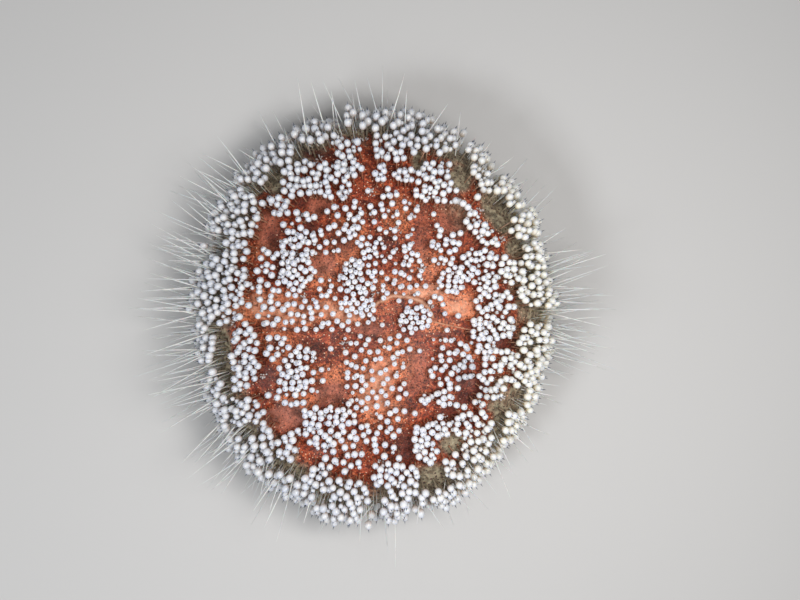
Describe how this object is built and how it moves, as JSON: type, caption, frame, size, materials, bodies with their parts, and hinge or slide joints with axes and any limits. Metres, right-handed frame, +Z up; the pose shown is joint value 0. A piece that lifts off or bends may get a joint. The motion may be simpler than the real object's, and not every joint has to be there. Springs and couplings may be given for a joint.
{
  "type": "fire urchin",
  "caption": "Still, life-size fire urchin: a flattened, soft-bodied sea urchin, its upper side set with short spines that end in venom sacs, resting on blunt spines underneath.",
  "frame": {"origin": "on the floor, under the middle of the whole urchin with its long spines", "axes": "+Z up, away from the floor it rests on; +Y along the body's longer way; +X to the right of it, seen from above"},
  "size_m": [0.23, 0.236, 0.0667],
  "materials": {
    "ambulacrum_skin": "moist, orange, satin",
    "interambulacrum_skin": "moist, brick red, satin",
    "apical_skin": "granular, red brown",
    "mouth_skin": "wrinkled, tan",
    "venom_sacs": "translucent, pale blue white",
    "long_spines": "translucent, grey white",
    "blunt_spines": "satin, cream tan",
    "teeth": "glossy white"
  },
  "bodies": {
    "root": {"ambulacrum_1": "ambulacrum_skin", "interambulacrum_1": "interambulacrum_skin", "ambulacrum_2": "ambulacrum_skin", "interambulacrum_2": "interambulacrum_skin", "ambulacrum_3": "ambulacrum_skin", "interambulacrum_3": "interambulacrum_skin", "ambulacrum_4": "ambulacrum_skin", "interambulacrum_4": "interambulacrum_skin", "ambulacrum_5": "ambulacrum_skin", "interambulacrum_5": "interambulacrum_skin", "apical_disc": "apical_skin", "mouth_disc": "mouth_skin"}
  },
  "joints": []
}
